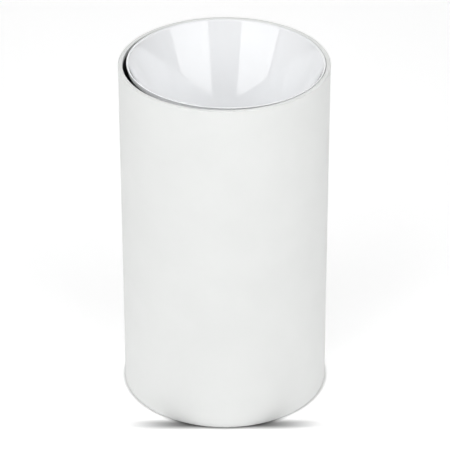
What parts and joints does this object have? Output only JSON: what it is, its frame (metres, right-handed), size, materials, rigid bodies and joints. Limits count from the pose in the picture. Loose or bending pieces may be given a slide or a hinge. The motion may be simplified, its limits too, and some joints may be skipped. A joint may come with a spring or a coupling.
{
  "type": "surface-mounted cylinder downlight",
  "caption": "Surface-mounted cylinder downlight: matte white tube on a ceiling plate, twist-lock reflector lamp inside, and a removable glossy white cone in the open end.",
  "frame": {"origin": "centre of the ceiling plate's mounting face, on the tube's axis", "axes": "+Z along the tube's axis from the ceiling face to the light opening, so the fitting stands on its ceiling face; the side the picture shows faces -Y"},
  "size_m": [0.075, 0.075, 0.1305],
  "materials": {
    "powder_coat": "fine matte powder coat",
    "gloss_white": "gloss",
    "zinc_steel": "zinc plated",
    "screw_steel": "nickel plated",
    "spring_steel": "bright spring strip",
    "brass": "satin",
    "steatite": "fired, unglazed",
    "nylon": "satin",
    "rubber": "matte",
    "lamp_plastic": "satin",
    "lens_plastic": "clear, ribbed",
    "board": "white solder mask",
    "phosphor": "phosphor resin",
    "driver": "green circuit board",
    "lead_brown": "silicone sleeve",
    "lead_blue": "silicone sleeve",
    "lead_green": "green and yellow silicone sleeve"
  },
  "bodies": {
    "ceiling_base": {"ceiling_plate": "zinc_steel", "cable_grommet": "rubber", "earth_tag": "screw_steel", "lamp_bridge": "zinc_steel", "bridge_screw_1": "screw_steel", "bridge_screw_2": "screw_steel", "lampholder_body": "steatite", "holder_contact_1": "screw_steel", "holder_contact_2": "screw_steel", "holder_screw_1": "screw_steel", "holder_screw_2": "screw_steel", "terminal_block": "nylon", "terminal_barrel_1": "brass", "terminal_barrel_2": "brass", "terminal_barrel_3": "brass", "block_screw_1": "screw_steel", "block_screw_2": "screw_steel", "live_lead": "lead_brown", "neutral_lead": "lead_blue", "earth_lead": "lead_green"},
    "housing": {"housing_tube": "powder_coat"},
    "set_screw_a": {"set_screw_1": "powder_coat"},
    "set_screw_b": {"set_screw_2": "powder_coat"},
    "reflector_unit": {"reflector": "gloss_white", "spring_rivet_1": "screw_steel", "spring_rivet_2": "screw_steel", "spring_rivet_3": "screw_steel"},
    "spring_a": {"leaf_spring_1": "spring_steel"},
    "spring_b": {"leaf_spring_2": "spring_steel"},
    "spring_c": {"leaf_spring_3": "spring_steel"},
    "lamp": {"lamp_base": "lamp_plastic", "lamp_shell": "lamp_plastic", "lamp_lens": "lens_plastic", "led_board": "board", "led_emitter": "phosphor", "driver_board": "driver", "lamp_pin_1": "brass", "lamp_pin_2": "brass"},
    "earth_clamp": {"earth_screw": "brass"},
    "terminal_clamp_1": {"clamp_screw_1": "screw_steel"},
    "terminal_clamp_2": {"clamp_screw_2": "screw_steel"},
    "terminal_clamp_3": {"clamp_screw_3": "screw_steel"},
    "terminal_clamp_4": {"clamp_screw_4": "screw_steel"},
    "terminal_clamp_5": {"clamp_screw_5": "screw_steel"},
    "terminal_clamp_6": {"clamp_screw_6": "screw_steel"}
  },
  "joints": [
    {"name": "housing_off", "type": "slide", "parent": "ceiling_base", "child": "housing", "axis": [0, 0, 1], "range_m": [0, 0.13]},
    {"name": "set_screw_a_turn", "type": "hinge", "parent": "housing", "child": "set_screw_a", "pos_m": [0.03118, 0.018, 0.0034], "axis": [0.866, 0.5, 0], "range_deg": [0, 720]},
    {"name": "set_screw_b_turn", "type": "hinge", "parent": "housing", "child": "set_screw_b", "pos_m": [-0.03118, 0.018, 0.0034], "axis": [-0.866, 0.5, 0], "range_deg": [0, 720]},
    {"name": "reflector_out", "type": "slide", "parent": "housing", "child": "reflector_unit", "axis": [0, 0, 1], "range_m": [0, 0.045]},
    {"name": "spring_a_flex", "type": "hinge", "parent": "reflector_unit", "child": "spring_a", "pos_m": [0.0149, 0.02569, 0.09952], "axis": [-0.866, 0.5, 0.0094], "range_deg": [-3, 0], "stiffness_Nm_per_rad": 0.05, "springref_deg": 8.02},
    {"name": "spring_b_flex", "type": "hinge", "parent": "reflector_unit", "child": "spring_b", "pos_m": [-0.02912, 0.00028, 0.1001], "axis": [0, -1, 0.0021], "range_deg": [-3, 0], "stiffness_Nm_per_rad": 0.05, "springref_deg": 8.02},
    {"name": "spring_c_flex", "type": "hinge", "parent": "reflector_unit", "child": "spring_c", "pos_m": [0.0149, -0.02514, 0.09963], "axis": [0.866, 0.5, -0.0115], "range_deg": [-3, 0], "stiffness_Nm_per_rad": 0.05, "springref_deg": 8.02},
    {"name": "lamp_twist", "type": "hinge", "parent": "ceiling_base", "child": "lamp", "pos_m": [0, 0, 0.048], "axis": [0, 0, 1], "range_deg": [0, 24]},
    {"name": "earth_screw_turn", "type": "hinge", "parent": "ceiling_base", "child": "earth_clamp", "pos_m": [0.0155, 0.0215, 0.003], "axis": [0, 0, 1], "range_deg": [0, 720]},
    {"name": "terminal_clamp_1_turn", "type": "hinge", "parent": "ceiling_base", "child": "terminal_clamp_1", "pos_m": [0.0058, -0.01, 0.012], "axis": [0, 0, 1], "range_deg": [0, 1080]},
    {"name": "terminal_clamp_2_turn", "type": "hinge", "parent": "ceiling_base", "child": "terminal_clamp_2", "pos_m": [0.0142, -0.01, 0.012], "axis": [0, 0, 1], "range_deg": [0, 1080]},
    {"name": "terminal_clamp_3_turn", "type": "hinge", "parent": "ceiling_base", "child": "terminal_clamp_3", "pos_m": [0.0058, 0, 0.012], "axis": [0, 0, 1], "range_deg": [0, 1080]},
    {"name": "terminal_clamp_4_turn", "type": "hinge", "parent": "ceiling_base", "child": "terminal_clamp_4", "pos_m": [0.0142, 0, 0.012], "axis": [0, 0, 1], "range_deg": [0, 1080]},
    {"name": "terminal_clamp_5_turn", "type": "hinge", "parent": "ceiling_base", "child": "terminal_clamp_5", "pos_m": [0.0058, 0.01, 0.012], "axis": [0, 0, 1], "range_deg": [0, 1080]},
    {"name": "terminal_clamp_6_turn", "type": "hinge", "parent": "ceiling_base", "child": "terminal_clamp_6", "pos_m": [0.0142, 0.01, 0.012], "axis": [0, 0, 1], "range_deg": [0, 1080]}
  ]
}
